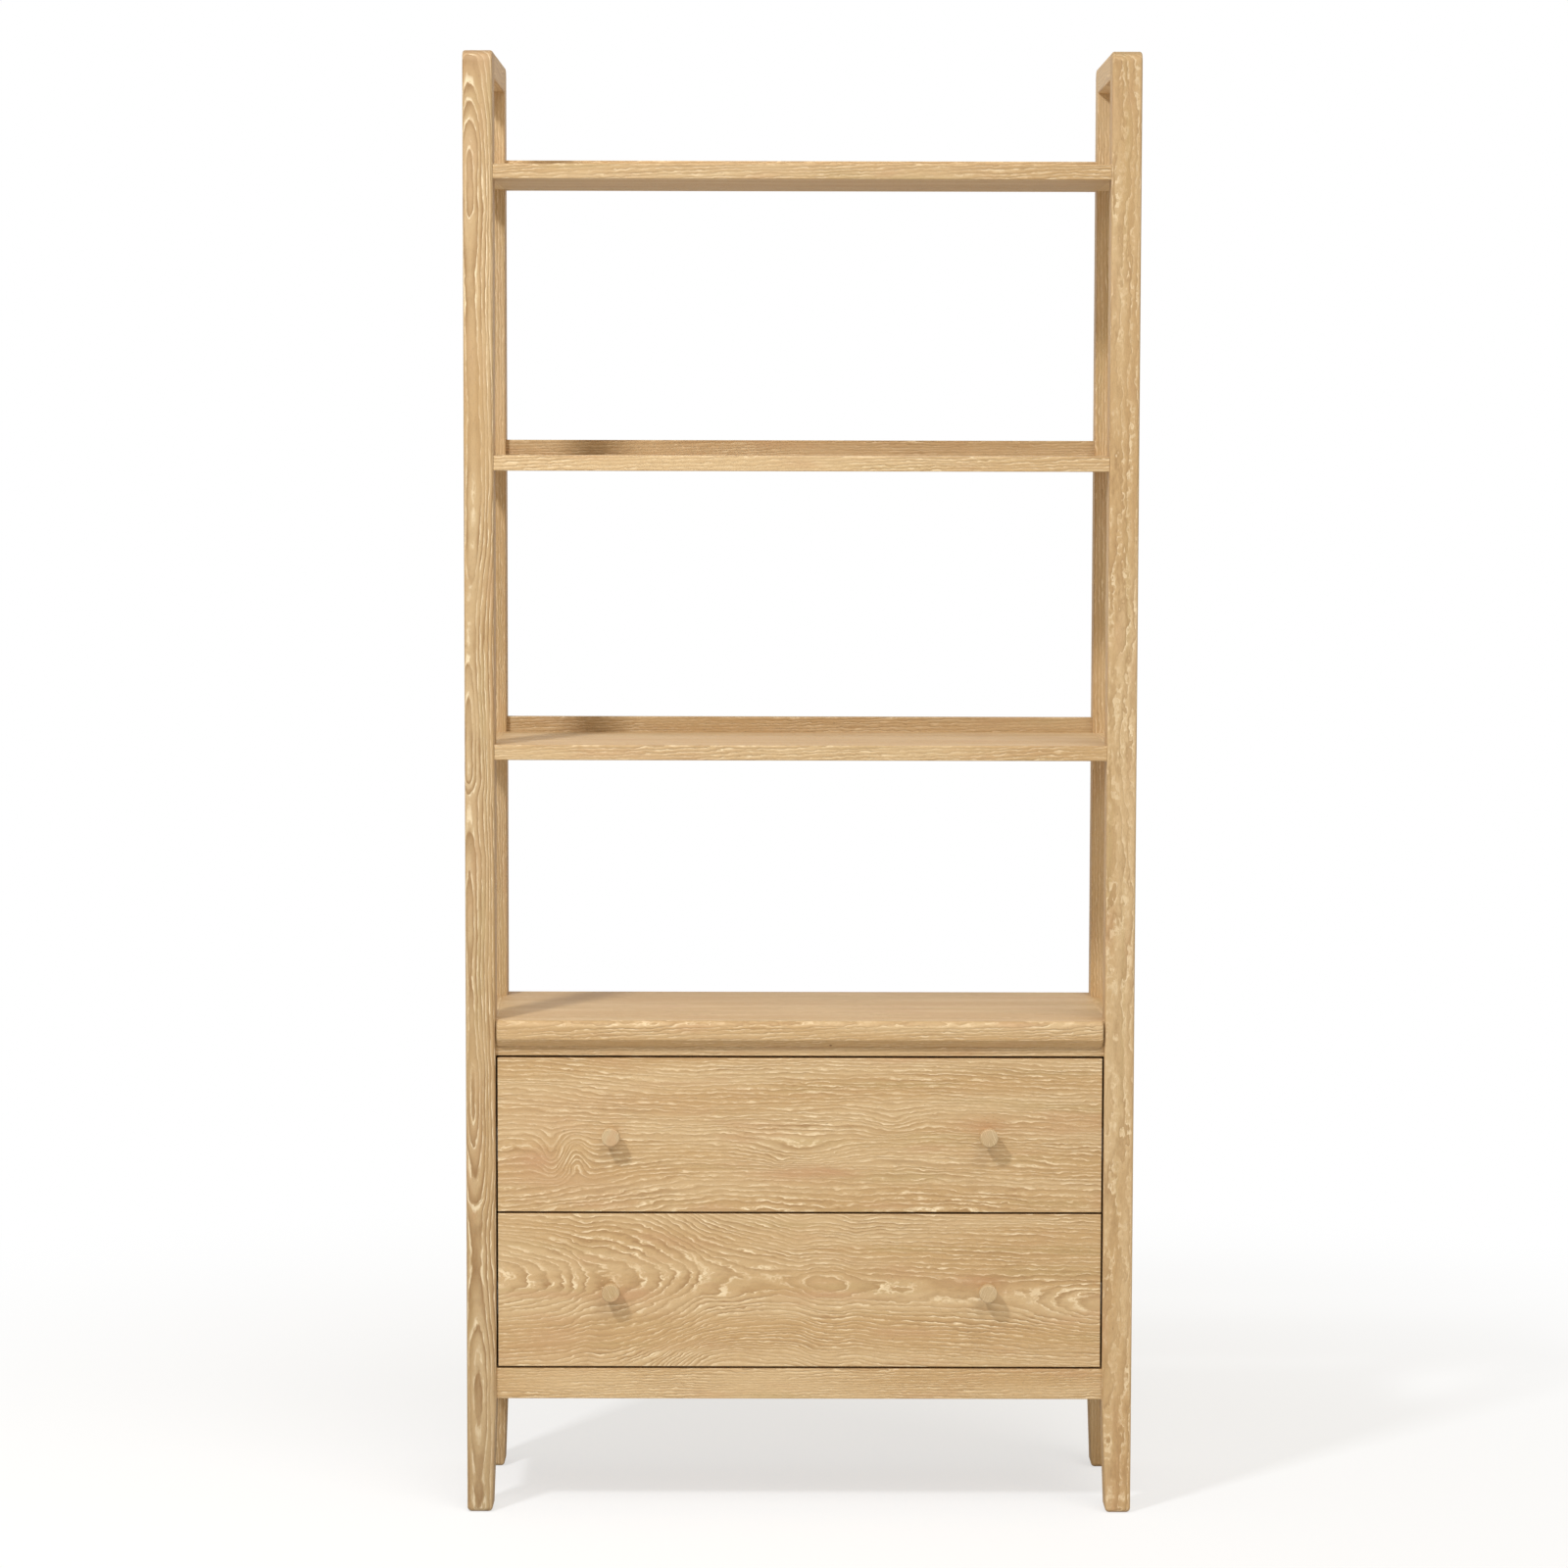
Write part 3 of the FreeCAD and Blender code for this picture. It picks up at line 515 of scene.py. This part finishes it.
# Screws: pan heads with a cross recess, in millimetres
screws = {
    "slide": {
        "head": 3.4, "height": 2.0, "arm": 0.55, "reach": 1.7, "recess": 1.2, "shank": 1.7, "length": 0.6,
        "along": (32, 98, 216), "sheet": 1.2,  # places from the member's front end, thickness of its web
    },
    "knob": {
        "head": 4.0, "height": 2.5, "arm": 0.65, "reach": 2.0, "recess": 1.5, "shank": 2.0, "length": 33.8,
    },
}
panHead = {
    "profile": [(0.76, 0.97), (0.93, 0.78), (1, 0.45), (1, 0)],  # radius and height, as parts of the head's
    "taper": 0.7, "crease": 0.6,
}


def makeScrews(name, size, spots, aim, body):
    bm = bmesh.new()
    bmesh.ops.create_grid(bm, x_segments=3, y_segments=3, size=size["reach"])
    for vert in bm.verts:
        for axis in (0, 1):
            if abs(vert.co[axis]) < size["reach"] / 2:
                vert.co[axis] = math.copysign(size["arm"], vert.co[axis])
        vert.co.z = size["height"]
    cross = [f for f in bm.faces if min(abs(c) for c in f.calc_center_median().xy) < size["arm"]]
    edges = [e for e in bm.edges if e.is_boundary]
    bmesh.ops.subdivide_edges(bm, edges=edges, cuts=1)
    edges = [e for e in bm.edges if e.is_boundary]
    rings = [(size["head"] * across, size["height"] * up) for across, up in panHead["profile"]]
    rings += [(size["shank"], 0), (size["shank"], -size["length"])]
    for radius, level in rings:  # each drawn out of the one before
        drawn = bmesh.ops.extrude_edge_only(bm, edges=edges)
        for vert in only(bmesh.types.BMVert, drawn):
            vert.co = (*(vert.co.xy.normalized() * radius), level)
        edges = [e for e in only(bmesh.types.BMEdge, drawn) if e.is_boundary]
    bmesh.ops.edgeloop_fill(bm, edges=edges)
    sunk = bmesh.ops.extrude_face_region(bm, geom=cross)
    for vert in only(bmesh.types.BMVert, sunk):
        taper = panHead["taper"]
        vert.co = (vert.co.x * taper, vert.co.y * taper, size["height"] - size["recess"])
    bmesh.ops.recalc_face_normals(bm, faces=bm.faces)
    for face in bm.faces:
        face.smooth = True
    for edge in bm.edges:
        edge.smooth = edge.calc_face_angle(0) < panHead["crease"]
    turn = Vector(aim).to_track_quat("Z", "Y").to_matrix().to_4x4()
    bm.transform(Matrix.Translation(spots[0]) @ turn @ Matrix.Scale(1 / perMetre, 4))
    first = bm.verts[:] + bm.edges[:] + bm.faces[:]
    for spot in spots[1:]:
        copied = bmesh.ops.duplicate(bm, geom=first)
        away = Vector(spot) - Vector(spots[0])
        bmesh.ops.translate(bm, vec=away, verts=only(bmesh.types.BMVert, copied))
    bm.verts.index_update()
    settle(bm.edges)
    settle(bm.faces)
    mesh = meshOf(name, bm)
    mesh.materials.append(screwZinc)
    piece = placed(name, mesh)
    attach(piece, body)
    return piece


for level in ("upper", "lower"):
    body = level + "_drawer"
    low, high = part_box(body + "_knob_screws")
    reach = screws["knob"]["head"] / perMetre
    seat = high[1] - screws["knob"]["height"] / perMetre
    spots = [(x, seat, (low[2] + high[2]) / 2) for x in (low[0] + reach, high[0] - reach)]
    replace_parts(makeScrews(level + "KnobScrews", screws["knob"], spots, (0, 1, 0), body),
                body + "_knob_screws")
    for side, sign in (("left", -1), ("right", 1)):
        low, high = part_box(f"{level}_{side}_slide_drawer_member")
        web = screws["slide"]["sheet"] / perMetre
        x = high[0] - web if side == "left" else low[0] + web
        spots = [(x, low[1] + y / perMetre, (low[2] + high[2]) / 2) for y in screws["slide"]["along"]]
        makeScrews(f"{level}{side.capitalize()}SlideScrews", screws["slide"], spots, (sign, 0, 0), body)
print("screws in")

# Lights: a soft box high on the left, and a broad sun from the front
key = {
    "place": (-2.15, -3.1, 4.3), "target": (0, -0.1, 0.9), "size": 0.5, "power": 138,
    "colour": (0.96, 0.99, 1.04),
}
front = {"aim": (-0.24, 0.56, -0.82), "strength": 1.0, "softness": 0.7, "colour": (1, 0.985, 0.955)}


def hang(lamp, colour, aim, place=(0, 0, 0)):
    lamp.color = colour
    hung = placed(lamp.name, lamp)
    hung.location = place
    hung.rotation_euler = Vector(aim).to_track_quat("-Z", "Y").to_euler()


softBox = bpy.data.lights.new("key", "AREA")
softBox.energy = key["power"]
softBox.size = key["size"]
hang(softBox, key["colour"], Vector(key["target"]) - Vector(key["place"]), key["place"])
sun = bpy.data.lights.new("front", "SUN")
sun.energy = front["strength"]
sun.angle = front["softness"]
hang(sun, front["colour"], front["aim"])

# World: a warm fill that is seen as white
fill = {"colour": (1, 0.93, 0.81, 1), "strength": 0.49}
world = bpy.data.worlds.new("studio")
bpy.context.scene.world = world
sky = Tree(world)
whiteTo = ("Camera", "Glossy", "Transmission")
rays = [sky.node("ShaderNodeLightPath", output=f"Is {ray} Ray") for ray in whiteTo]
soft = sky.node("ShaderNodeBackground", {}, fill["colour"], fill["strength"])
backdrop = sky.node("ShaderNodeBackground", {}, white, 1.0)
seen = sky.node("ShaderNodeMixShader", {}, rays[0] + rays[1] + rays[2], soft, backdrop)
sky.node("ShaderNodeOutputWorld", {}, seen)

# Floor: to the camera it is pale near the bookcase and fades to white, in metres from the middle
ground = {"size": 40, "bounce": 0.72, "pale": 0.95, "glow": 0.62, "fade": (0.7, 2.4)}
bm = bmesh.new()
bmesh.ops.create_grid(bm, x_segments=1, y_segments=1, size=ground["size"])
floorMesh = meshOf("floor", bm)
floor = placed("floor", floorMesh)
floorMaterial = bpy.data.materials.new("paleFloor")
tree = Tree(floorMaterial)
far = tree.vector("LENGTH", tree.node("ShaderNodeTexCoord", output="Object"))
fade = tree.step(ground["fade"], far)
pale = tree.node("ShaderNodeBsdfDiffuse", {}, grey(ground["pale"]))
glow = tree.node("ShaderNodeEmission", {}, white, 1.0)
bright = tree.node("ShaderNodeMixShader", {}, fade.above(ground["glow"]), pale, glow)
matt = tree.node("ShaderNodeBsdfDiffuse", {}, grey(ground["bounce"]))
onCamera = tree.node("ShaderNodeLightPath", output="Is Camera Ray")
tree.node("ShaderNodeOutputMaterial", {}, tree.node("ShaderNodeMixShader", {}, onCamera, matt, bright))
floorMesh.materials.append(floorMaterial)

# Camera: where the photograph was taken from, in metres and radians
view = {
    "place": (-0.0364, -6.0107, 1.4810), "down": 0.0805, "right": 0.00234, "roll": 0.0022,
    "lens": 99.33, "sensor": 36, "farthest": 100,
}
ahead = Vector((view["right"] * math.cos(view["down"]), math.cos(view["down"]), -math.sin(view["down"])))
ahead.normalize()
right = ahead.cross(Vector((0, 0, 1))).normalized()
up = right.cross(ahead)
leaned = right * math.cos(view["roll"]) + up * math.sin(view["roll"])
camera = bpy.data.cameras.new("camera")
camera.lens = view["lens"]
camera.sensor_width = view["sensor"]
camera.clip_end = view["farthest"]
cameraObject = placed("camera", camera)
stance = Matrix((leaned, leaned.cross(ahead), -ahead)).transposed().to_4x4()
cameraObject.matrix_world = Matrix.Translation(view["place"]) @ stance
bpy.context.scene.camera = cameraObject
bpy.context.scene.view_settings.view_transform = "Standard"
print("studio set")
